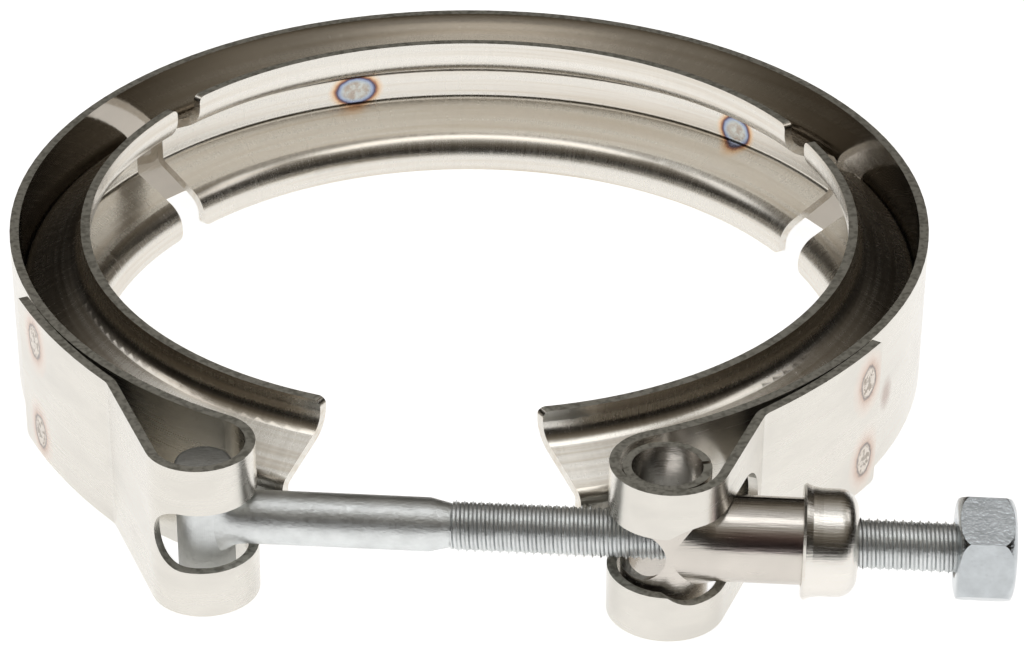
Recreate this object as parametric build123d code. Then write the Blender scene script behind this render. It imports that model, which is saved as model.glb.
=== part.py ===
from build123d import *
import math
import os

# V-band clamp: a folded strap with two loops, three V segments, a T-bolt and a formed trunnion.
# Millimetres. The ring's axis is +Z through the origin, the bolt runs along +X in front, at -Y.

# Strap
strap_width = 25.8
strap_thickness = 1.5
ring_radius = 76.0            # outside of the strap
bolt_inset = 0.5              # the bolt's line cuts this far inside the strap's outside
flap_gap = 0.12               # between a flap and the strap at its welds
flap_flatness = 29.0          # how much larger a flap's radius is than the ring's
flap_bend_radius = 4.0        # middle of the sheet
flap_corner = 0.9

# T-bolt side, on the left
t_loop_radius = 8.3           # outside
t_flap_bend = 45.0            # degrees below the X axis, round the flap's own middle
t_flap_end = 28.5
t_slot_far_end = 322.0        # degrees round the loop, from its outer side to its back
slot_back_end = 106.0
slot_height = 10.3

# Trunnion side, on the right
trunnion_loop_radius = 9.0
trunnion_flap_bend = 45.6
trunnion_flap_end = 30.2
wide_slot_height = 13.7       # where the trunnion's tube passes
wide_slot_start = 302.0       # degrees round the loop
wide_slot_reach = 15.5        # along the flap's straight, past the loop

# Spot welds
weld_diameter = 5.0
t_weld_angle = 32.4           # degrees below the X axis
t_weld_height = 8.4           # above and below the middle of the strap
trunnion_weld_angle = 32.2
trunnion_weld_height = 7.1

# V segments
segment_thickness = 1.5
segment_gap = 0.05            # between a segment's crown and the strap
groove_depth = 10.05          # from the inside of the crown to the inside of the lips
lip_length = 5.0
leg_height = 5.2
segment_height = 26.0
segment_drop = 0.6            # the segments sit a little below the strap's middle
lip_bend = 5.2                # where a lip turns into a leg, on the face towards the axis
crown_bend = 0.9              # where a leg turns into the crown, on the same face
lip_corner = 1.2              # rounds the lips' corners at a segment's ends
back_segment_start = 33.6     # degrees round from +X
back_segment_end = 143.9
right_segment_back = 27.6     # degrees behind the X axis
left_segment_back = 30.8
right_segment_front = 76.0    # degrees before the X axis, at the lips
left_segment_front = 74.4
crown_clearance = 0.45        # a segment's front end is cut to clear the bolt

# T-bolt
shank_diameter = 8.15
thread_diameter = 7.75
t_head_offset = 0.4           # towards the nut, from its loop's middle
t_head_diameter = 8.6
t_head_length = 19.2
t_head_edge = 0.5
neck_length = 4.0             # forged flare from the shank to the head
neck_start = 2.4              # from the head's middle
neck_width = 8.0
shank_end_x = 0.2
thread_start_x = 3.5
bolt_end_x = 86.2
bolt_end_chamfer = 0.7

# Trunnion
trunnion_offset = 0.4         # away from the nut, from its loop's middle
barrel_diameter = 13.2
barrel_height = 24.4
trunnion_wall = 1.3
tube_diameter = 13.0
spread_height = 19.0          # the tube widens to this at the barrel's middle
spread_length = 7.4
tube_end_x = 61.9
bolt_window_height = 8.8
bolt_window_side = 129.0      # degrees round the barrel, where the window's ends are centred
seam_width = 0.7
barrel_seam_angle = 14.0
tube_seam_angle = 77.0        # degrees up from the back

# Collar over the tube's end
collar_start_x = 55.5
collar_end_x = 63.7
collar_wall = 1.45
collar_fit = 0.08             # radial play on the tube
mouth_diameter = 17.4
mouth_length = 1.4
collar_face = 0.68            # flat ring round the hole, that the nut presses on
collar_hole = 8.7

# Nut
nut_start_x = 78.0
nut_length = 8.7
nut_across_flats = 14.7
nut_turn = 22.0               # degrees that a corner stands above the front
nut_fit = 0.07                # radial play on the thread
nut_rounding_start = 2.4      # how far each end's rounding reaches along a corner
nut_rounding_end = 2.8

half_strap = strap_thickness / 2
bolt_line = bolt_inset - ring_radius
flap_radius = ring_radius + flap_flatness
crown_radius = ring_radius - strap_thickness - segment_gap
lip_radius = crown_radius - segment_thickness - groove_depth


def loop_x(loop_radius):
    """How far along the bolt a loop's middle stands, so that the loop is tangent to the ring."""
    return math.sqrt((ring_radius + loop_radius - strap_thickness) ** 2 - bolt_line ** 2)


t_head_x = t_head_offset - loop_x(t_loop_radius)
trunnion_x = loop_x(trunnion_loop_radius) - trunnion_offset


def polar(radius, angle, center=(0, 0)):
    """The point at a radius and an angle in degrees from a centre."""
    turn = math.radians(angle)
    return (center[0] + radius * math.cos(turn), center[1] + radius * math.sin(turn))


def curved_strip(center, radius, start, end):
    """The strap's section in plan round a bend, with the radius to the middle of the sheet."""
    outer = CenterArc(center, radius + half_strap, start, end - start)
    inner = CenterArc(center, radius - half_strap, start, end - start)
    return make_face([outer, inner, Line(outer @ 0, inner @ 0), Line(outer @ 1, inner @ 1)])


def straight_strip(first, last):
    """The strap's section in plan between two points on the middle of the sheet."""
    run = Vector(*last) - Vector(*first)
    side = Vector(-run.Y, run.X).normalized() * half_strap
    corners = [Vector(*first) + side, Vector(*last) + side, Vector(*last) - side, Vector(*first) - side]
    return make_face(Polyline(*corners, close=True))


def cross_tangent(center_a, radius_a, center_b, radius_b):
    """The direction from circle a of the point where a line that passes between two circles leaves it."""
    span = Vector(*center_b) - Vector(*center_a)
    bearing = math.degrees(math.atan2(span.Y, span.X))
    return bearing - math.degrees(math.acos((radius_a + radius_b) / span.length))


def flap_center(weld_angle):
    """The middle of a flap's arc, which comes nearest to the strap at the welds."""
    return polar(ring_radius + flap_gap + half_strap - flap_radius, -weld_angle)


def arm_plan(loop_radius, weld_angle, flap_bend, flap_end):
    """One arm, its loop and its flap in plan, on the right, and where the flap's straight starts."""
    center = (loop_x(loop_radius), bolt_line)
    middle = loop_radius - half_strap
    contact = math.degrees(math.atan2(center[1], center[0]))
    flap_middle = flap_center(weld_angle)
    bend = polar(flap_radius + flap_bend_radius, -flap_bend, flap_middle)
    facing = cross_tangent(center, middle, bend, flap_bend_radius)
    flap_start = polar(middle, facing, center)
    plan = curved_strip((0, 0), ring_radius - half_strap, contact, 0)
    plan += curved_strip(center, middle, contact + 180, facing + 360)
    plan += straight_strip(flap_start, polar(-flap_bend_radius, facing, bend))
    plan += curved_strip(bend, flap_bend_radius, 180 - flap_bend, facing + 180)
    plan += curved_strip(flap_middle, flap_radius, -flap_bend, -flap_end)
    return plan, flap_start, facing


def radial_rod(center, angle, diameter, length):
    """A rod that lies flat and points away from a centre."""
    plane = Plane(origin=(*center, 0), x_dir=(0, 0, 1), z_dir=(*polar(1, angle), 0))
    return plane * Cylinder(diameter / 2, length, align=(Align.CENTER, Align.CENTER, Align.MIN))


def ring_slot(center, radius, height, start, end):
    """Cuts a slot with round ends in the wall of an upright ring, between two rods."""
    reach = radius + 2 * strap_thickness
    wedge = make_face([CenterArc(center, reach, start, end - start),
                       Line(center, polar(reach, start, center)),
                       Line(center, polar(reach, end, center))])
    slot = extrude(wedge, height / 2, both=True)
    for angle in (start, end):
        slot += radial_rod(center, angle, height, reach)
    return slot


def weld_spot(angle, height):
    """A spot weld that joins the flap to the strap."""
    depth = strap_thickness / 2
    spot = radial_rod((0, 0), -angle, weld_diameter, ring_radius + depth)
    spot -= Cylinder(ring_radius - depth, 4 * strap_width)
    return Pos(0, 0, height) * spot


def round_end_angle(radius, height):
    """How far a slot's round end reaches round a ring, in degrees."""
    return math.degrees(math.asin(height / 2 / radius))


def finish_flap(arm, weld_angle, weld_height, flap_end):
    """Rounds the corners of a flap's free end and adds its two spot welds."""
    end = Vector(*polar(flap_radius, -flap_end, flap_center(weld_angle)))
    corners = [edge for edge in arm.edges()
               if Vector(edge.center().X, edge.center().Y).sub(end).length < half_strap / 2
               and abs(abs(edge.center().Z) - strap_width / 2) < half_strap]
    arm = fillet(corners, flap_corner)
    for side in (-1, 1):
        arm += weld_spot(weld_angle, side * weld_height)
    return arm


def t_arm():
    """The left arm with the T-bolt's loop, modelled on the right."""
    plan, _, _ = arm_plan(t_loop_radius, t_weld_angle, t_flap_bend, t_flap_end)
    arm = extrude(plan, strap_width / 2, both=True)
    turn = round_end_angle(t_loop_radius, slot_height)
    arm -= ring_slot((loop_x(t_loop_radius), bolt_line), t_loop_radius, slot_height,
                     slot_back_end + turn, t_slot_far_end - turn)
    return finish_flap(arm, t_weld_angle, t_weld_height, t_flap_end)


def trunnion_arm():
    """The right arm with the trunnion's loop, whose slot widens for the tube and runs into the flap."""
    center = (loop_x(trunnion_loop_radius), bolt_line)
    plan, flap_start, facing = arm_plan(
        trunnion_loop_radius, trunnion_weld_angle, trunnion_flap_bend, trunnion_flap_end)
    arm = extrude(plan, strap_width / 2, both=True)
    turn = round_end_angle(trunnion_loop_radius, slot_height)
    arm -= ring_slot(center, trunnion_loop_radius, slot_height, slot_back_end + turn, 270)
    arm -= ring_slot(center, trunnion_loop_radius, wide_slot_height, wide_slot_start, facing + 360)
    flap_plane = Plane(origin=(*flap_start, 0), x_dir=(*polar(1, facing + 90), 0),
                       z_dir=(*polar(1, facing), 0))
    flap_slot = SlotOverall(2 * wide_slot_reach, wide_slot_height)
    arm -= extrude(flap_plane * flap_slot, strap_thickness, both=True)
    return finish_flap(arm, trunnion_weld_angle, trunnion_weld_height, trunnion_flap_end)


def make_band():
    """The strap: one folded strip with a loop at each end and welded flaps."""
    round_back = curved_strip((0, 0), ring_radius - half_strap, 0, 180)
    band = extrude(round_back, strap_width / 2, both=True)
    return band + trunnion_arm() + mirror(t_arm(), about=Plane.YZ)


def segment_profile():
    """The V section in a plane of radius and height, from the line of its face towards the axis."""
    top = segment_height / 2
    bottom_radius = crown_radius - segment_thickness
    inside = [(lip_radius, top), (lip_radius, top - lip_length),
              (bottom_radius, top - lip_length - leg_height),
              (bottom_radius, lip_length + leg_height - top),
              (lip_radius, lip_length - top), (lip_radius, -top)]
    line = FilletPolyline(*inside, radius=[lip_bend, crown_bend, crown_bend, lip_bend])
    return make_face(line.wire().offset_2d(segment_thickness, side=Side.LEFT))


def swept_round(start, end):
    """The V section carried round the ring from one angle to another."""
    plane = Plane(origin=(0, 0, -segment_drop), x_dir=(*polar(1, start), 0), z_dir=(*polar(1, start - 90), 0))
    return revolve(plane * segment_profile(), Axis.Z, end - start)


def round_lips(segment):
    """Rounds the four corners of a segment's lips."""
    rims = [segment_height / 2 - segment_drop, -segment_height / 2 - segment_drop]
    short = [edge for edge in segment.edges() if edge.length < 2 * segment_thickness]
    corners = [edge for edge in short if min(abs(edge.center().Z - rim) for rim in rims) < 0.01]
    return fillet(corners, lip_corner)


def side_segment(back, front):
    """A V segment on the right, cut off at the front so that its crown clears the bolt."""
    clear_line = bolt_line + shank_diameter / 2 + crown_clearance
    crown_end = polar(crown_radius, math.degrees(math.asin(clear_line / crown_radius)))
    lip_end = polar(lip_radius, -front)
    cut = Vector(*crown_end) - Vector(*lip_end)
    plane = Plane(origin=(*lip_end, 0), x_dir=cut, z_dir=(-cut.Y, cut.X, 0))
    return round_lips(split(swept_round(-90, back), bisect_by=plane, keep=Keep.TOP))


def segment_right():
    return side_segment(right_segment_back, right_segment_front)


def segment_left():
    return mirror(side_segment(left_segment_back, left_segment_front), about=Plane.YZ)


def segment_back():
    return round_lips(swept_round(back_segment_start, back_segment_end))


def turned(points):
    """A solid of revolution about the bolt's axis, from points of X and radius."""
    outline = make_face(Polyline(*points, close=True))
    return revolve(outline, Axis.X)


def circles_along(shape):
    """The round edges of a turned shape, in their order along the bolt."""
    return shape.edges().filter_by(GeomType.CIRCLE).sort_by(Axis.X)


def on_bolt_line(shape):
    return Pos(0, bolt_line, 0) * shape


def t_bolt():
    """The T-bolt: a forged head across a round shank, and the thread as a plain cylinder."""
    shank = shank_diameter / 2
    thread = thread_diameter / 2
    rod = turned([(t_head_x, 0), (t_head_x, shank), (shank_end_x, shank), (thread_start_x, thread),
                  (bolt_end_x - bolt_end_chamfer, thread), (bolt_end_x, thread - bolt_end_chamfer),
                  (bolt_end_x, 0)])
    head = Cylinder(t_head_diameter / 2, t_head_length)
    head = chamfer(head.edges().filter_by(GeomType.CIRCLE), t_head_edge)
    start = t_head_x + neck_start
    curve = Spline((start, shank + neck_length), (start + 0.3 * neck_length, shank + 0.3 * neck_length),
                   (start + neck_length, shank), tangents=[(0, -1), (1, 0)])
    outline = make_face([curve, Polyline(curve @ 1, (start + neck_length, 0), (t_head_x, 0),
                                         (t_head_x, shank + neck_length), curve @ 0)])
    flare = revolve(outline, Axis.X) & Pos(t_head_x, 0, 0) * Box(4 * neck_length, neck_width, t_head_length)
    return on_bolt_line(rod + Pos(t_head_x, 0, 0) * head + flare)


def spread(wall):
    """The body between the barrel and the tube, with its outside set in by a wall."""
    tall = Plane.YZ.offset(trunnion_x) * Ellipse(tube_diameter / 2 - wall, spread_height / 2 - wall)
    round_end = Plane.YZ.offset(trunnion_x + spread_length) * Circle(tube_diameter / 2 - wall)
    return loft([tall, round_end])


def trunnion():
    """The trunnion: one sheet rolled into an upright barrel and a tube round the bolt."""
    center = (trunnion_x, 0)
    tube_length = tube_end_x - trunnion_x
    tube = Location((trunnion_x, 0, 0), (0, 90, 0))
    outside = Cylinder(tube_diameter / 2, tube_length, align=(Align.CENTER, Align.CENTER, Align.MIN))
    bore = Cylinder(tube_diameter / 2 - trunnion_wall, tube_length,
                    align=(Align.CENTER, Align.CENTER, Align.MIN))
    body = Pos(trunnion_x, 0, 0) * Cylinder(barrel_diameter / 2, barrel_height)
    body += tube * outside
    body += spread(0)
    body -= Pos(trunnion_x, 0, 0) * Cylinder(barrel_diameter / 2 - trunnion_wall, barrel_height)
    body -= tube * bore
    body -= spread(trunnion_wall)
    window_ends = bolt_window_side, 360 - bolt_window_side
    body -= ring_slot(center, barrel_diameter / 2, bolt_window_height, *window_ends)
    barrel_seam = Box(barrel_diameter, seam_width, barrel_height, align=(Align.MIN, Align.CENTER, Align.MIN))
    body -= Location((trunnion_x, 0, spread_height / 2), (0, 0, barrel_seam_angle)) * barrel_seam
    tube_seam = Box(tube_length, tube_diameter, seam_width, align=(Align.MIN, Align.MIN, Align.CENTER))
    seam_start = trunnion_x + barrel_diameter / 2
    body -= Location((seam_start, 0, 0), (tube_seam_angle, 0, 0)) * tube_seam
    return on_bolt_line(body)


def collar():
    """The drawn collar over the tube's end, flared at its mouth, that the nut presses on."""
    inner = tube_diameter / 2 + collar_fit
    outer = inner + collar_wall
    mouth = mouth_diameter / 2
    hole = collar_hole / 2
    end = collar_end_x - collar_wall
    points = [(collar_start_x, inner + 0.3), (collar_start_x, mouth - 0.4), (collar_start_x + 0.4, mouth),
              (collar_start_x + mouth_length, outer + 0.2), (collar_start_x + 2 * mouth_length, outer),
              (collar_end_x, outer), (collar_end_x, hole), (end, hole), (end, inner),
              (collar_start_x + 0.6, inner)]
    body = turned(points)
    rim = circles_along(body).group_by(Axis.X)[-1].sort_by(SortBy.RADIUS)[-1]
    return on_bolt_line(fillet(rim, outer - hole - collar_face))


def nut():
    """A hexagon nut with the corners of both ends rounded off."""
    corner = nut_across_flats / math.sqrt(3)
    hexagon = RegularPolygon(nut_across_flats / 2, 6, major_radius=False, rotation=nut_turn)
    blank = extrude(Plane.YZ * hexagon, nut_length)
    end = nut_length
    limits = turned([(0, 0), (0, corner + 0.1), (end, corner + 0.1), (end, 0)])
    limits = fillet(circles_along(limits)[0], nut_rounding_start)
    limits = fillet(circles_along(limits)[-1], nut_rounding_end)
    bore = thread_diameter / 2 + nut_fit
    hole = turned([(-1, 0), (-1, bore + 1.6), (0.6, bore), (end - 0.6, bore), (end + 1, bore + 1.6),
                   (end + 1, 0)])
    return on_bolt_line(Pos(nut_start_x, 0, 0) * ((blank & limits) - hole))


PIECES = {
    "band": make_band,
    "segment_left": segment_left,
    "segment_back": segment_back,
    "segment_right": segment_right,
    "t_bolt": t_bolt,
    "trunnion": trunnion,
    "collar": collar,
    "nut": nut,
}

os.makedirs("parts", exist_ok=True)
for name, make in PIECES.items():
    export_step(make(), f"parts/{name}.step")
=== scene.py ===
import math

import bpy
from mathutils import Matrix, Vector


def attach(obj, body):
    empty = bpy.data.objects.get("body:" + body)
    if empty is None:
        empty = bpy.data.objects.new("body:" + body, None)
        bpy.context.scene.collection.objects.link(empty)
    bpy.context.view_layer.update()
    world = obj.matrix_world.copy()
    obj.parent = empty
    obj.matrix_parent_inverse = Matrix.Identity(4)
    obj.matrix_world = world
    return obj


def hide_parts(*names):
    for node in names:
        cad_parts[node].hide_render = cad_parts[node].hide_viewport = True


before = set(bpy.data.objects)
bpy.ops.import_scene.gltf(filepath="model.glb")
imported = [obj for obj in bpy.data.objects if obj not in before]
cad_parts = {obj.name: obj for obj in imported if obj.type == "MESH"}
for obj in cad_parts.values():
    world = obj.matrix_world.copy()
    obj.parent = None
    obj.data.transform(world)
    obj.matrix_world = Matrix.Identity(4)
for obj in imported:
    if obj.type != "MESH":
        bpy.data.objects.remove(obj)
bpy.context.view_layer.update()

bl_info = {
    "name": "V-band clamp",
    "version": (1, 0, 0),
    "blender": (4, 5, 0),
    "location": "View3D > Sidebar > V-band clamp",
    "description": "Dresses a V-band clamp: its metals, its threaded T-bolt and a plain stage",
    "category": "Object",
}

MM = 1000  # millimetres in a metre

# Places and sizes in metres
BOLT_LINE = -0.0755
FLOOR = -0.0136
FLOOR_SIZE = 6
FLOOR_GAP = 0.0001
HEAD_X = -0.0336
HEAD_RADIUS = 0.0043
HEAD_HEIGHT = 0.0192
HEAD_ROUNDING = 0.0006
TAPER = 0.0033  # the cone between the shank and the thread
NEAR = 1e-5  # a vertex this near to a plane lies on it

# The neck starts at NECK_REACH from the head's axis. Each step goes so far towards the head, and makes
# the end so many times taller. NECK_NARROWING of that growth is taken from the width.
NECK_REACH = 0.0066
NECK_STEPS = ((0.0012, 1.03), (0.0010, 1.09), (0.0008, 1.16), (0.0006, 1.25), (0.0006, 1.32))
NECK_NARROWING = 0.05
NECK_ROOT = 0.0016

# Sides of the round forms, and the smoothing angle in degrees
ROUND_SIDES = 96
THREAD_SIDES = 36
SMOOTH_ANGLE = 35

# Radii and heights in millimetres: STRAP_MIDDLE lies between the strap's two faces, a segment's rims
# lie farther than SEGMENT_RIM from SEGMENT_MIDDLE, and the barrel's ends farther than BARREL_RIM from 0.
RING_RADIUS = 76.0
STRAP_MIDDLE = 75.3
COLLAR_RADIUS = 8.0
SEGMENT_MIDDLE = -0.6
SEGMENT_RIM = 12.8
BARREL_RIM = 12.0

# Marks: degrees round from the back, height, half length and half height in millimetres
STRAP_WELDS = ((-122.4, 8.4, 2.5, 3.3), (-122.4, -8.4, 2.5, 3.3),
               (122.2, 7.1, 2.3, 3.2), (122.2, -7.1, 2.3, 3.2))
STRAP_STAIN = ((114.8, -0.6, 2.6, 3.4),)
SEGMENT_WELDS = ((-21.4, -0.7, 4.1, 2.75), (37.2, -1.2, 3.3, 2.9))
NO_MARK = 9.0  # a distance that no tint reaches

# The trunnion's tint: its middle in degrees above the front, and the degrees and the millimetres
# along X that its ramps take as 1
TINT_RISE = 31.0
TINT_SPREAD = 30.0
TINT_REACH = 60.0

EDGE_ROUGHNESS = 0.6
WHITE = (1, 1, 1, 1)

# The lights: name, place, width and depth in metres, and power in watts. All look at the origin.
LIGHTS = (("softbox", (0.0, -0.15, 0.75), (0.9, 0.22), 0.9),
          ("left", (-0.6, 0.1, 0.6), (0.25, 0.3), 0.3),
          ("right", (0.6, 0.1, 0.6), (0.25, 0.3), 0.3))

# The surroundings from straight down, 0, to straight up, 1
SKY = ((0.0, (0.9, 0.9, 0.9)), (0.49, (0.9, 0.9, 0.9)), (0.51, (0.008, 0.006, 0.004)),
       (0.70, (0.012, 0.010, 0.007)), (0.85, (0.12, 0.10, 0.075)), (0.92, (0.33, 0.31, 0.27)),
       (0.97, (0.58, 0.57, 0.55)), (1.0, (0.70, 0.70, 0.70)))

# The camera, fitted to the photograph
CAMERA_PLACE = (0.040049, -0.498035, 0.285933)
CAMERA_LOOK = (-0.06957, 0.86513, -0.49669)
CAMERA_LENS = 120.267
CAMERA_SHIFT = (0.04181, -0.05005)


def make_node(tree, kind, inputs=None, **settings):
    """Adds a shader node; a socket among its inputs is linked, any other value is set."""
    made = tree.nodes.new(kind)
    for key, value in settings.items():
        setattr(made, key, value)
    for key, value in (inputs or {}).items():
        if isinstance(value, bpy.types.NodeSocket):
            tree.links.new(value, made.inputs[key])
        else:
            made.inputs[key].default_value = value
    return made


def calc(tree, operation, *values):
    """One Math node's result."""
    return make_node(tree, "ShaderNodeMath", dict(enumerate(values)), operation=operation).outputs[0]


def ramp(tree, value, *stops):
    """A colour ramp with stops of position and colour."""
    made = make_node(tree, "ShaderNodeValToRGB", {0: value})
    elements = made.color_ramp.elements
    while len(elements) < len(stops):
        elements.new(0.5)
    for element, (place, color) in zip(elements, stops):
        element.position = place
        element.color = (*color, 1.0)
    return made.outputs[0]


def mix(tree, factor, first, second, blend="MIX"):
    """Two colours mixed by a factor."""
    inputs = {0: factor, 6: first, 7: second}
    return make_node(tree, "ShaderNodeMix", inputs, data_type="RGBA", blend_type=blend).outputs[2]


def noise(tree, vector, scale, detail=3.0, roughness=0.55):
    """A noise texture's grey value."""
    inputs = {"Vector": vector, "Scale": scale, "Detail": detail, "Roughness": roughness}
    return make_node(tree, "ShaderNodeTexNoise", inputs).outputs[0]


def grey(value):
    """A colour without hue."""
    return (value, value, value)


def toned(tree, shader, value, *stops):
    """The metal's own colour made darker and lighter by a value, with stops of position and grey."""
    shades = ramp(tree, value, *((place, grey(level)) for place, level in stops))
    return mix(tree, 1.0, tuple(shader.inputs["Base Color"].default_value), shades, "MULTIPLY")


def stretched(tree, vector, scale):
    """A vector with each part scaled."""
    return make_node(tree, "ShaderNodeVectorMath", {0: vector, 1: scale}, operation="MULTIPLY").outputs[0]


def parts(tree, vector):
    """A vector's X, Y and Z."""
    split = make_node(tree, "ShaderNodeSeparateXYZ", {0: vector})
    return split.outputs[0], split.outputs[1], split.outputs[2]


def surface_place(tree):
    """The surface's place in millimetres."""
    return stretched(tree, make_node(tree, "ShaderNodeTexCoord").outputs["Object"], (MM, MM, MM))


def flat_length(tree, across, up):
    """The length of a flat vector."""
    squares = calc(tree, "ADD", calc(tree, "POWER", across, 2.0), calc(tree, "POWER", up, 2.0))
    return calc(tree, "SQRT", squares)


def ring_places(tree, x, y, z):
    """The way round from the back at the strap, the radius, and a vector of way, height and radius."""
    along = calc(tree, "MULTIPLY", calc(tree, "ARCTAN2", x, y), RING_RADIUS)
    radius = flat_length(tree, x, y)
    vector = make_node(tree, "ShaderNodeCombineXYZ", {0: along, 1: z, 2: radius}).outputs[0]
    return along, radius, vector


def new_metal(name, color, roughness):
    """An empty metal material and its tree and shader."""
    material = bpy.data.materials.new(name)
    material.use_nodes = True
    tree = material.node_tree
    shader = tree.nodes["Principled BSDF"]
    shader.inputs["Metallic"].default_value = 1.0
    shader.inputs["Base Color"].default_value = (*color, 1.0)
    shader.inputs["Roughness"].default_value = roughness
    return material, tree, shader


def bump(tree, shader, height, strength, distance):
    """Feeds a height, in millimetres of relief, to the shader's normal."""
    inputs = {"Height": height, "Strength": strength, "Distance": distance / MM}
    made = make_node(tree, "ShaderNodeBump", inputs)
    tree.links.new(made.outputs[0], shader.inputs["Normal"])


def weld_marks(tree, along, z, marks):
    """How far each point is from the nearest oval mark, as a share of its half length and half height."""
    nearest = NO_MARK
    for turn, height, half_length, half_height in marks:
        centre = RING_RADIUS * math.radians(turn)
        across = calc(tree, "DIVIDE", calc(tree, "SUBTRACT", along, centre), half_length)
        up = calc(tree, "DIVIDE", calc(tree, "SUBTRACT", z, height), half_height)
        nearest = calc(tree, "MINIMUM", nearest, flat_length(tree, across, up))
    return nearest


def level_faces(tree, least):
    """1 on the faces that look up or down at least so steeply, 0 on the rest."""
    normal = make_node(tree, "ShaderNodeNewGeometry").outputs["True Normal"]
    return calc(tree, "GREATER_THAN", calc(tree, "ABSOLUTE", parts(tree, normal)[2]), least)


def cut_edges(tree, shader, color, roughness, edge, specks):
    """Gives the shader a colour and a roughness, and a duller, rougher, speckled finish on cut edges."""
    sheared = ramp(tree, specks, (0.38, (0.36, 0.35, 0.31)), (0.55, (0.58, 0.57, 0.52)))
    tree.links.new(mix(tree, edge, color, sheared), shader.inputs["Base Color"])
    rise = calc(tree, "MULTIPLY", edge, calc(tree, "SUBTRACT", EDGE_ROUGHNESS, roughness))
    tree.links.new(calc(tree, "ADD", rise, roughness), shader.inputs["Roughness"])


def strap_steel(settings):
    """Rolled strip: glossy inside, satin outside, with cloudy handling marks, tinted spot welds and painted
    shade that darkens the inside.
    """
    material, tree, shader = new_metal("strap_steel", settings.strap_color, 0.25)
    place = surface_place(tree)
    x, y, z = parts(tree, place)
    along, radius, vector = ring_places(tree, x, y, z)
    clouds = noise(tree, stretched(tree, vector, (0.05, 0.12, 0.1)), 1.0, 4.0)
    lines = noise(tree, stretched(tree, vector, (0.05, 3.0, 0.05)), 1.0, 2.0)
    specks = noise(tree, place, 1.1, 3.0)
    outside = calc(tree, "GREATER_THAN", radius, STRAP_MIDDLE)
    tone = toned(tree, shader, clouds, (0.3, 0.90), (0.55, 1.0), (0.75, 0.95))

    # The spot welds, with an uneven outline
    welds = weld_marks(tree, along, z, STRAP_WELDS)
    wobble = calc(tree, "MULTIPLY", calc(tree, "SUBTRACT", specks, 0.5), 0.35)
    near = calc(tree, "ADD", welds, wobble)
    tint = ramp(tree, calc(tree, "MULTIPLY", near, 0.5),
                (0.0, (0.60, 0.55, 0.50)), (0.36, (0.66, 0.60, 0.54)), (0.42, (0.22, 0.19, 0.18)),
                (0.50, (0.56, 0.42, 0.35)), (0.75, (0.72, 0.60, 0.53)))
    scarred = ramp(tree, specks, (0.44, (0.5, 0.46, 0.42)), (0.50, grey(1.0)))
    tint = mix(tree, ramp(tree, near, (0.6, grey(1.0)), (0.8, grey(0.0))), tint,
               mix(tree, 1.0, tint, scarred, "MULTIPLY"))
    halo = ramp(tree, calc(tree, "MULTIPLY", near, 0.5),
                (0.0, grey(0.8)), (0.42, grey(1.0)), (0.55, grey(0.75)), (1.0, grey(0.0)))
    color = mix(tree, calc(tree, "MULTIPLY", halo, outside), tone, tint)

    # The stain beside the right flap, and painted shade: the inside's colour darkened to stand in for the
    # dark it reflects
    stain = calc(tree, "ADD", weld_marks(tree, along, z, STRAP_STAIN), wobble)
    stained = calc(tree, "MULTIPLY", ramp(tree, stain, (0.3, grey(0.8)), (1.0, grey(0.0))), outside)
    color = mix(tree, stained, color, (0.42, 0.33, 0.29, 1))
    # Painted shade: the inside face's colour is multiplied darker, painting in the dark surroundings that
    # it reflects
    color = mix(tree, 1.0, color, mix(tree, outside, (0.60, 0.57, 0.54, 1), WHITE), "MULTIPLY")

    rough = calc(tree, "ADD", calc(tree, "MULTIPLY", lines, 0.10), calc(tree, "MULTIPLY", clouds, 0.14))
    rough = calc(tree, "ADD", rough, calc(tree, "MULTIPLY", outside, 0.14))
    cut_edges(tree, shader, color, rough, level_faces(tree, 0.5), specks)
    dimple = ramp(tree, welds, (0.0, grey(0.5)), (0.6, grey(0.55)), (0.75, grey(0.0)), (0.95, grey(0.6)))
    height = calc(tree, "ADD", calc(tree, "MULTIPLY", lines, 0.03), calc(tree, "MULTIPLY", specks, 0.18))
    height = calc(tree, "ADD", height, calc(tree, "MULTIPLY", calc(tree, "MULTIPLY", dimple, outside), 1.5))
    bump(tree, shader, height, 0.35, 0.12)
    return material


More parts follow.
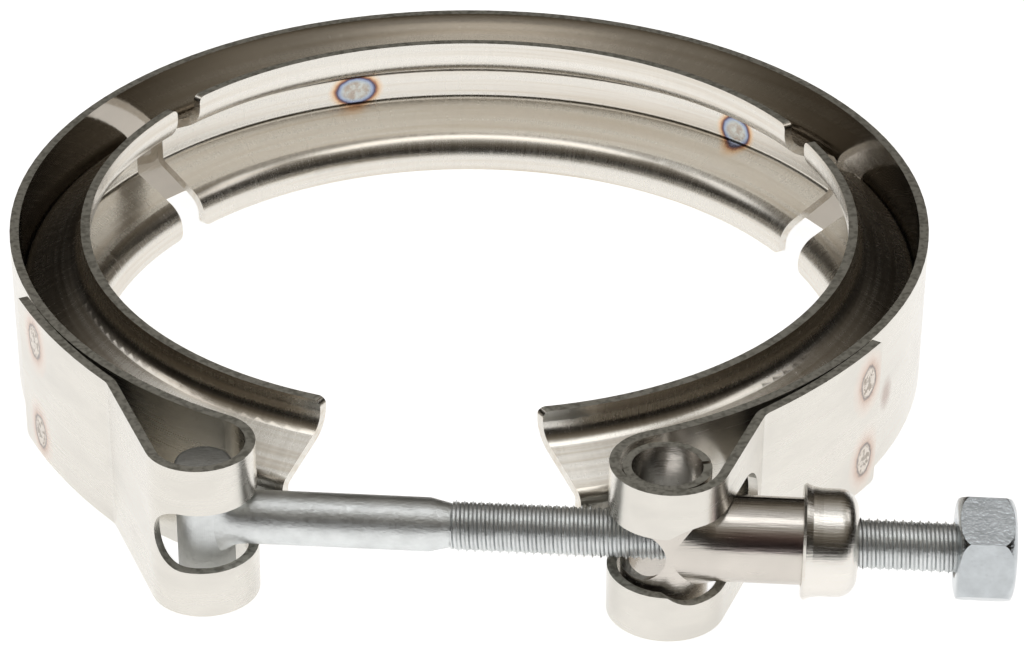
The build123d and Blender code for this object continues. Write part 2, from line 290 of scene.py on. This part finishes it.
def segment_steel(settings):
    """Rolled V section: satin, with streaks across it, bands along it and heat tints from the welds."""
    material, tree, shader = new_metal("segment_steel", settings.segment_color, 0.22)
    place = surface_place(tree)
    x, y, z = parts(tree, place)
    along, _, vector = ring_places(tree, x, y, z)
    streaks = noise(tree, stretched(tree, vector, (1.6, 0.05, 0.05)), 1.0, 4.0, 0.7)
    bands = noise(tree, stretched(tree, vector, (0.012, 0.7, 0.7)), 1.0, 3.0)
    specks = noise(tree, place, 1.0, 3.0)
    tone = toned(tree, shader, streaks, (0.3, 0.94), (0.5, 0.98), (0.7, 1.0))
    worn = ramp(tree, bands, (0.32, (0.86, 0.82, 0.77)), (0.5, (0.98, 0.97, 0.96)), (0.6, grey(1.0)))
    tone = mix(tree, 1.0, tone, worn, "MULTIPLY")

    # The welds' rings, mottled inside
    near = weld_marks(tree, along, z, SEGMENT_WELDS)
    near = calc(tree, "ADD", near, calc(tree, "MULTIPLY", calc(tree, "SUBTRACT", specks, 0.5), 0.12))
    mottled = mix(tree, ramp(tree, specks, (0.4, grey(0.0)), (0.6, grey(1.0))),
                  (0.40, 0.34, 0.29, 1), (0.52, 0.53, 0.50, 1))
    tint = ramp(tree, calc(tree, "MULTIPLY", near, 0.6),
                (0.42, (0.42, 0.48, 0.54)), (0.50, (0.30, 0.34, 0.48)), (0.56, (0.06, 0.05, 0.10)),
                (0.61, (0.30, 0.12, 0.06)), (0.68, (0.70, 0.42, 0.20)), (0.85, (0.76, 0.64, 0.50)))
    inside = ramp(tree, near, (0.55, grey(1.0)), (0.75, grey(0.0)))
    tint = mix(tree, inside, tint, mottled)
    halo = ramp(tree, calc(tree, "MULTIPLY", near, 0.6),
                (0.0, grey(0.9)), (0.50, grey(1.0)), (0.62, grey(0.9)), (0.85, grey(0.0)))
    color = mix(tree, halo, tone, tint)

    rough = calc(tree, "ADD", calc(tree, "MULTIPLY", streaks, 0.16), calc(tree, "MULTIPLY", bands, 0.20))
    away = calc(tree, "ABSOLUTE", calc(tree, "SUBTRACT", z, SEGMENT_MIDDLE))
    rim = calc(tree, "MULTIPLY", calc(tree, "GREATER_THAN", away, SEGMENT_RIM), level_faces(tree, 0.9))
    cut_edges(tree, shader, color, calc(tree, "ADD", rough, 0.07), rim, specks)
    height = calc(tree, "ADD", calc(tree, "MULTIPLY", streaks, 0.05), calc(tree, "MULTIPLY", specks, 0.12))
    bump(tree, shader, calc(tree, "ADD", height, calc(tree, "MULTIPLY", bands, 0.2)), 0.25, 0.15)
    return material


def zinc_steel(settings):
    """Zinc plate on forged steel: bluish, satin, with soft dents and a fine grain."""
    material, tree, shader = new_metal("bolt_steel", settings.zinc_color, 0.4)
    place = surface_place(tree)
    dents = noise(tree, place, 0.25, 3.0)
    grain = noise(tree, stretched(tree, place, (1.6, 2.4, 2.4)), 1.0, 3.0)
    tone = toned(tree, shader, dents, (0.35, 0.86), (0.65, 1.0))
    tree.links.new(tone, shader.inputs["Base Color"])
    tree.links.new(calc(tree, "ADD", calc(tree, "MULTIPLY", grain, 0.25), 0.31), shader.inputs["Roughness"])
    bump(tree, shader, calc(tree, "ADD", grain, calc(tree, "MULTIPLY", dents, 2.0)), 0.5, 0.12)
    return material


def trunnion_steel(settings):
    """Formed stainless sheet: glossy, a little wavy, with drawing marks along the tube and a tint."""
    material, tree, shader = new_metal("trunnion_steel", settings.trunnion_color, 0.2)
    place = surface_place(tree)
    x, y, z = parts(tree, place)
    waves = noise(tree, place, 0.12, 2.0)
    lines = noise(tree, stretched(tree, place, (0.15, 2.5, 2.5)), 1.0, 3.0)
    tone = toned(tree, shader, waves, (0.3, 0.88), (0.7, 1.0))
    front = calc(tree, "SUBTRACT", BOLT_LINE * MM, y)
    rise = calc(tree, "MULTIPLY", calc(tree, "ARCTAN2", z, front), 180 / math.pi)
    band = calc(tree, "ABSOLUTE", calc(tree, "SUBTRACT", rise, TINT_RISE))
    tinted = ramp(tree, calc(tree, "DIVIDE", band, TINT_SPREAD), (0.1, grey(0.8)), (0.6, grey(0.0)))
    reach = ramp(tree, calc(tree, "DIVIDE", x, TINT_REACH), (0.68, grey(0.0)), (0.78, grey(1.0)))
    tone = mix(tree, calc(tree, "MULTIPLY", tinted, reach), tone, (0.46, 0.31, 0.33, 1))
    rim = calc(tree, "GREATER_THAN", calc(tree, "ABSOLUTE", z), BARREL_RIM)
    rim = calc(tree, "MULTIPLY", rim, level_faces(tree, 0.9))
    rough = calc(tree, "ADD", calc(tree, "MULTIPLY", lines, 0.2), 0.14)
    cut_edges(tree, shader, tone, rough, rim, noise(tree, place, 1.1, 3.0))
    bump(tree, shader, calc(tree, "ADD", lines, calc(tree, "MULTIPLY", waves, 3.0)), 0.25, 0.12)
    return material


def collar_steel(settings):
    """Drawn collar: brushed along the bolt."""
    material, tree, shader = new_metal("collar_steel", settings.collar_color, 0.28)
    x, y, z = parts(tree, surface_place(tree))
    centred = calc(tree, "ADD", y, -BOLT_LINE * MM)
    turn = calc(tree, "ARCTAN2", centred, z)
    around = calc(tree, "MULTIPLY", turn, COLLAR_RADIUS)
    vector = make_node(tree, "ShaderNodeCombineXYZ", {0: x, 1: around, 2: 0.0}).outputs[0]
    brushed = noise(tree, stretched(tree, vector, (0.12, 3.5, 1.0)), 1.0, 4.0, 0.7)
    turned = noise(tree, stretched(tree, vector, (3.0, 0.1, 1.0)), 1.0, 3.0)
    tone = toned(tree, shader, brushed, (0.3, 0.9), (0.7, 1.0))
    tree.links.new(tone, shader.inputs["Base Color"])
    rough = calc(tree, "ADD", calc(tree, "MULTIPLY", brushed, 0.24), 0.12)
    tree.links.new(rough, shader.inputs["Roughness"])
    bump(tree, shader, calc(tree, "ADD", brushed, turned), 0.3, 0.1)
    return material


def nut_steel(settings):
    """Plated nut: bright, with small dents."""
    material, tree, shader = new_metal("nut_steel", settings.nut_color, 0.22)
    place = surface_place(tree)
    dents = noise(tree, place, 0.35, 3.0)
    grain = noise(tree, place, 1.8, 4.0)
    tone = toned(tree, shader, dents, (0.35, 0.86), (0.65, 1.0))
    tree.links.new(tone, shader.inputs["Base Color"])
    tree.links.new(calc(tree, "ADD", calc(tree, "MULTIPLY", grain, 0.2), 0.12), shader.inputs["Roughness"])
    bump(tree, shader, calc(tree, "ADD", grain, calc(tree, "MULTIPLY", dents, 1.5)), 0.4, 0.15)
    return material


def dress(node, material):
    """Gives a CAD node a material."""
    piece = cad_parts[node]
    piece.data.materials.clear()
    piece.data.materials.append(material)


def only(piece):
    """Selects one object and nothing else."""
    bpy.ops.object.select_all(action="DESELECT")
    piece.select_set(True)
    bpy.context.view_layer.objects.active = piece


def start_piece(name):
    """Names the new primitive, and leaves it in object mode with none of its vertices selected."""
    piece = bpy.context.object
    piece.name = name
    bpy.ops.object.mode_set(mode="EDIT")
    bpy.ops.mesh.select_mode(type="VERT")
    bpy.ops.mesh.select_all(action="DESELECT")
    bpy.ops.object.mode_set(mode="OBJECT")
    return piece


def pick_vertices(piece, test):
    """Selects the vertices that pass a test and opens the piece in edit mode."""
    bpy.ops.object.mode_set(mode="OBJECT")
    for item in (*piece.data.polygons, *piece.data.edges):
        item.select = False
    for vertex in piece.data.vertices:
        vertex.select = test(piece.matrix_world @ vertex.co)
    bpy.ops.object.mode_set(mode="EDIT")


def finish_piece(piece, material):
    """Puts the piece's origin at the frame's, smooths it and gives it its material."""
    bpy.ops.object.mode_set(mode="OBJECT")
    only(piece)
    bpy.ops.object.transform_apply(location=True, rotation=True, scale=True)
    bpy.ops.object.shade_smooth_by_angle(angle=math.radians(SMOOTH_ANGLE))
    piece.data.materials.clear()
    piece.data.materials.append(material)


def threaded_length(settings):
    """The bolt's thread: one tooth's outline screwed along the bolt, then cut at both ends."""
    pitch = settings.thread_pitch
    start, end = settings.thread_start, settings.bolt_end
    root, crest = settings.thread_root / 2, settings.thread_crest / 2
    middle, spacing = start - pitch / 2, pitch / 8
    bpy.ops.object.select_all(action="DESELECT")
    bpy.ops.mesh.primitive_plane_add(size=pitch, location=(middle, 0, root))
    thread = start_piece("bolt_thread")

    # One side of the plane, with its middle point at the crest and the three on each side half way up
    pick_vertices(thread, lambda place: place.y > 0)
    bpy.ops.mesh.delete(type="VERT")
    bpy.ops.mesh.select_all(action="SELECT")
    bpy.ops.transform.translate(value=(0, pitch / 2, 0))
    bpy.ops.mesh.subdivide(number_cuts=7)
    pick_vertices(thread, lambda place: abs(place.x - middle) < spacing * 0.5)
    bpy.ops.transform.translate(value=(0, 0, crest - root))
    pick_vertices(thread, lambda place: spacing * 0.5 < abs(place.x - middle) < spacing * 3.5)
    bpy.ops.transform.translate(value=(0, 0, (crest - root) * 0.5))
    bpy.ops.object.mode_set(mode="OBJECT")
    only(thread)
    bpy.ops.object.transform_apply(location=True, rotation=True, scale=True)

    screw = thread.modifiers.new("Screw", "SCREW")
    screw.axis = "X"
    screw.screw_offset = pitch
    screw.iterations = math.ceil((end - start) / pitch) + 1
    screw.steps = THREAD_SIDES
    screw.render_steps = THREAD_SIDES
    bpy.ops.object.modifier_apply(modifier="Screw")
    bpy.ops.object.mode_set(mode="EDIT")
    for place, direction in ((start, -1), (end, 1)):
        bpy.ops.mesh.select_all(action="SELECT")
        bpy.ops.mesh.bisect(plane_co=(place, 0, 0), plane_no=(direction, 0, 0),
                            clear_outer=True, use_fill=True)
    bpy.ops.mesh.select_all(action="SELECT")
    bpy.ops.mesh.normals_make_consistent(inside=False)
    bpy.ops.transform.translate(value=(0, BOLT_LINE, 0))
    return thread


def bolt_body(settings):
    """The plain shank, tapered to the thread, and drawn out into a tall neck where it meets the head."""
    shank, start = settings.shank_diameter / 2, settings.thread_start
    neck_end = HEAD_X + NECK_REACH
    length = start - neck_end
    bpy.ops.object.select_all(action="DESELECT")
    bpy.ops.mesh.primitive_cylinder_add(vertices=ROUND_SIDES, radius=shank, depth=length,
                                        rotation=(0, math.pi / 2, 0),
                                        location=(neck_end + length / 2, BOLT_LINE, 0))
    body = start_piece("bolt_body")

    # The taper at the thread's end
    pick_vertices(body, lambda place: place.x > start - NEAR)
    narrow = settings.thread_root / 2 / shank
    bpy.ops.transform.translate(value=(-TAPER, 0, 0))
    bpy.ops.mesh.extrude_region_move(TRANSFORM_OT_translate={"value": (TAPER, 0, 0)})
    bpy.ops.transform.resize(value=(1, narrow, narrow), center_override=(start, BOLT_LINE, 0))

    # The neck at the head's end
    pick_vertices(body, lambda place: place.x < neck_end + NEAR)
    for step, taller in NECK_STEPS:
        bpy.ops.mesh.extrude_region_move(TRANSFORM_OT_translate={"value": (-step, 0, 0)})
        bpy.ops.transform.resize(value=(1, 1 - (taller - 1) * NECK_NARROWING, taller),
                                 center_override=(neck_end, BOLT_LINE, 0))
    bpy.ops.mesh.extrude_region_move(TRANSFORM_OT_translate={"value": (-NECK_ROOT, 0, 0)})
    return body


def bolt_head():
    """The forged head: an upright round bar with softened rims."""
    bpy.ops.object.mode_set(mode="OBJECT")
    bpy.ops.object.select_all(action="DESELECT")
    bpy.ops.mesh.primitive_cylinder_add(vertices=ROUND_SIDES, radius=HEAD_RADIUS, depth=HEAD_HEIGHT,
                                        location=(HEAD_X, BOLT_LINE, 0))
    head = start_piece("bolt_head")
    pick_vertices(head, lambda place: abs(place.z) > HEAD_HEIGHT / 2 - NEAR)
    bpy.ops.mesh.bevel(offset=HEAD_ROUNDING, segments=4, affect="EDGES")
    return head


def build_floor():
    """The white, glowing floor."""
    bpy.ops.object.select_all(action="DESELECT")
    bpy.ops.mesh.primitive_plane_add(size=FLOOR_SIZE, location=(0, 0, FLOOR - FLOOR_GAP))
    floor = bpy.context.object
    floor.name = "floor"
    material = bpy.data.materials.new("floor_white")
    material.use_nodes = True
    shader = material.node_tree.nodes["Principled BSDF"]
    shader.inputs["Base Color"].default_value = (0.8, 0.8, 0.8, 1)
    shader.inputs["Roughness"].default_value = 0.8
    shader.inputs["Emission Color"].default_value = WHITE
    shader.inputs["Emission Strength"].default_value = 0.84
    floor.data.materials.append(material)


def build_lights():
    """The soft lights, all turned to the origin."""
    for name, place, (width, depth), power in LIGHTS:
        bpy.ops.object.light_add(type="AREA", location=place)
        light = bpy.context.object
        light.name = name
        light.data.shape = "RECTANGLE"
        light.data.size = width
        light.data.size_y = depth
        light.data.energy = power
        light.rotation_euler = Vector(place).to_track_quat("Z", "Y").to_euler()


def build_surroundings():
    """Surroundings that the camera sees as white, and that light the clamp as SKY says."""
    world = bpy.data.worlds.new("surroundings")
    bpy.context.scene.world = world
    world.use_nodes = True
    tree = world.node_tree
    height = parts(tree, make_node(tree, "ShaderNodeTexCoord").outputs["Generated"])[2]
    sky = ramp(tree, calc(tree, "MULTIPLY_ADD", height, 0.5, 0.5), *SKY)
    seen = make_node(tree, "ShaderNodeLightPath").outputs["Is Camera Ray"]
    background = tree.nodes["Background"]
    tree.links.new(mix(tree, seen, sky, WHITE), background.inputs["Color"])
    background.inputs["Strength"].default_value = 1.0


def build_camera():
    """The camera that sees the clamp as the photograph does."""
    bpy.ops.object.camera_add(location=CAMERA_PLACE)
    camera = bpy.context.object
    camera.name = "camera"
    camera.rotation_euler = Vector(CAMERA_LOOK).to_track_quat("-Z", "Y").to_euler()
    camera.data.lens = CAMERA_LENS
    camera.data.shift_x, camera.data.shift_y = CAMERA_SHIFT
    bpy.context.scene.camera = camera
    bpy.context.scene.view_settings.view_transform = "Standard"


class VBandSettings(bpy.types.PropertyGroup):
    """Sizes and colours of the dressed clamp."""
    strap_color: bpy.props.FloatVectorProperty(
        name="Strap", description="Colour of the strap's steel", subtype="COLOR",
        default=(0.71, 0.685, 0.635))
    segment_color: bpy.props.FloatVectorProperty(
        name="Segments", description="Colour of the V segments' steel", subtype="COLOR",
        default=(0.74, 0.715, 0.665))
    zinc_color: bpy.props.FloatVectorProperty(
        name="Bolt", description="Colour of the bolt's zinc plate", subtype="COLOR",
        default=(0.74, 0.76, 0.76))
    trunnion_color: bpy.props.FloatVectorProperty(
        name="Trunnion", description="Colour of the trunnion's steel", subtype="COLOR",
        default=(0.66, 0.62, 0.57))
    collar_color: bpy.props.FloatVectorProperty(
        name="Collar", description="Colour of the collar's steel", subtype="COLOR",
        default=(0.82, 0.79, 0.74))
    nut_color: bpy.props.FloatVectorProperty(
        name="Nut", description="Colour of the nut's plate", subtype="COLOR",
        default=(0.54, 0.57, 0.59))
    thread_pitch: bpy.props.FloatProperty(
        name="Pitch", description="Distance between two of the thread's teeth", default=0.00125,
        unit="LENGTH")
    thread_crest: bpy.props.FloatProperty(
        name="Crest", description="Diameter over the thread's teeth", default=0.00775, unit="LENGTH")
    thread_root: bpy.props.FloatProperty(
        name="Root", description="Diameter between the thread's teeth", default=0.0066, unit="LENGTH")
    thread_start: bpy.props.FloatProperty(
        name="Thread start", description="Where the thread begins along X", default=0.0035, unit="LENGTH")
    bolt_end: bpy.props.FloatProperty(
        name="Bolt end", description="Where the bolt ends along X", default=0.0862, unit="LENGTH")
    shank_diameter: bpy.props.FloatProperty(
        name="Shank", description="Diameter of the plain shank", default=0.00815, unit="LENGTH")


class VBAND_OT_band(bpy.types.Operator):
    """Dresses the folded strap"""
    bl_idname = "vband.band"
    bl_label = "Band"

    def execute(self, context):
        dress("band", strap_steel(context.scene.vband))
        return {"FINISHED"}


class VBAND_OT_segments(bpy.types.Operator):
    """Dresses the three V segments"""
    bl_idname = "vband.segments"
    bl_label = "Segments"

    def execute(self, context):
        material = segment_steel(context.scene.vband)
        for node in ("segment_left", "segment_back", "segment_right"):
            dress(node, material)
        return {"FINISHED"}


class VBAND_OT_bolt(bpy.types.Operator):
    """Models the T-bolt with a cut thread in place of the CAD's plain one"""
    bl_idname = "vband.bolt"
    bl_label = "T-bolt"

    def execute(self, context):
        settings = context.scene.vband
        body = bolt_body(settings)
        head = bolt_head()
        bpy.ops.object.mode_set(mode="OBJECT")
        thread = threaded_length(settings)
        bpy.ops.object.mode_set(mode="OBJECT")
        only(body)
        head.select_set(True)
        thread.select_set(True)
        bpy.ops.object.join()
        body.name = "threaded_bolt"
        finish_piece(body, zinc_steel(settings))
        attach(body, "bolt")
        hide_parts("t_bolt")
        return {"FINISHED"}


class VBAND_OT_trunnion(bpy.types.Operator):
    """Dresses the trunnion, the collar and the nut"""
    bl_idname = "vband.trunnion"
    bl_label = "Trunnion, collar and nut"

    def execute(self, context):
        settings = context.scene.vband
        dress("trunnion", trunnion_steel(settings))
        dress("collar", collar_steel(settings))
        dress("nut", nut_steel(settings))
        return {"FINISHED"}


class VBAND_OT_stage(bpy.types.Operator):
    """Builds the floor, the soft lights, the white surroundings and the camera"""
    bl_idname = "vband.stage"
    bl_label = "Stage"

    def execute(self, context):
        build_floor()
        build_lights()
        build_surroundings()
        build_camera()
        return {"FINISHED"}


class VBAND_PT_panel(bpy.types.Panel):
    """Lists the clamp's pieces"""
    bl_idname = "VBAND_PT_panel"
    bl_label = "V-band clamp"
    bl_space_type = "VIEW_3D"
    bl_region_type = "UI"
    bl_category = "V-band clamp"

    def draw(self, context):
        for step in STEPS:
            self.layout.operator(step.bl_idname)
        for name in VBandSettings.__annotations__:
            self.layout.prop(context.scene.vband, name)


STEPS = (VBAND_OT_band, VBAND_OT_segments, VBAND_OT_bolt, VBAND_OT_trunnion, VBAND_OT_stage)


def register():
    for item in (VBandSettings, *STEPS, VBAND_PT_panel):
        bpy.utils.register_class(item)
    bpy.types.Scene.vband = bpy.props.PointerProperty(type=VBandSettings)


def unregister():
    del bpy.types.Scene.vband
    for item in (VBAND_PT_panel, *STEPS, VBandSettings):
        bpy.utils.unregister_class(item)


def main():
    """Builds the whole scene."""
    register()
    bpy.ops.vband.band()
    bpy.ops.vband.segments()
    bpy.ops.vband.bolt()
    bpy.ops.vband.trunnion()
    bpy.ops.vband.stage()


if __name__ == "__main__":
    main()
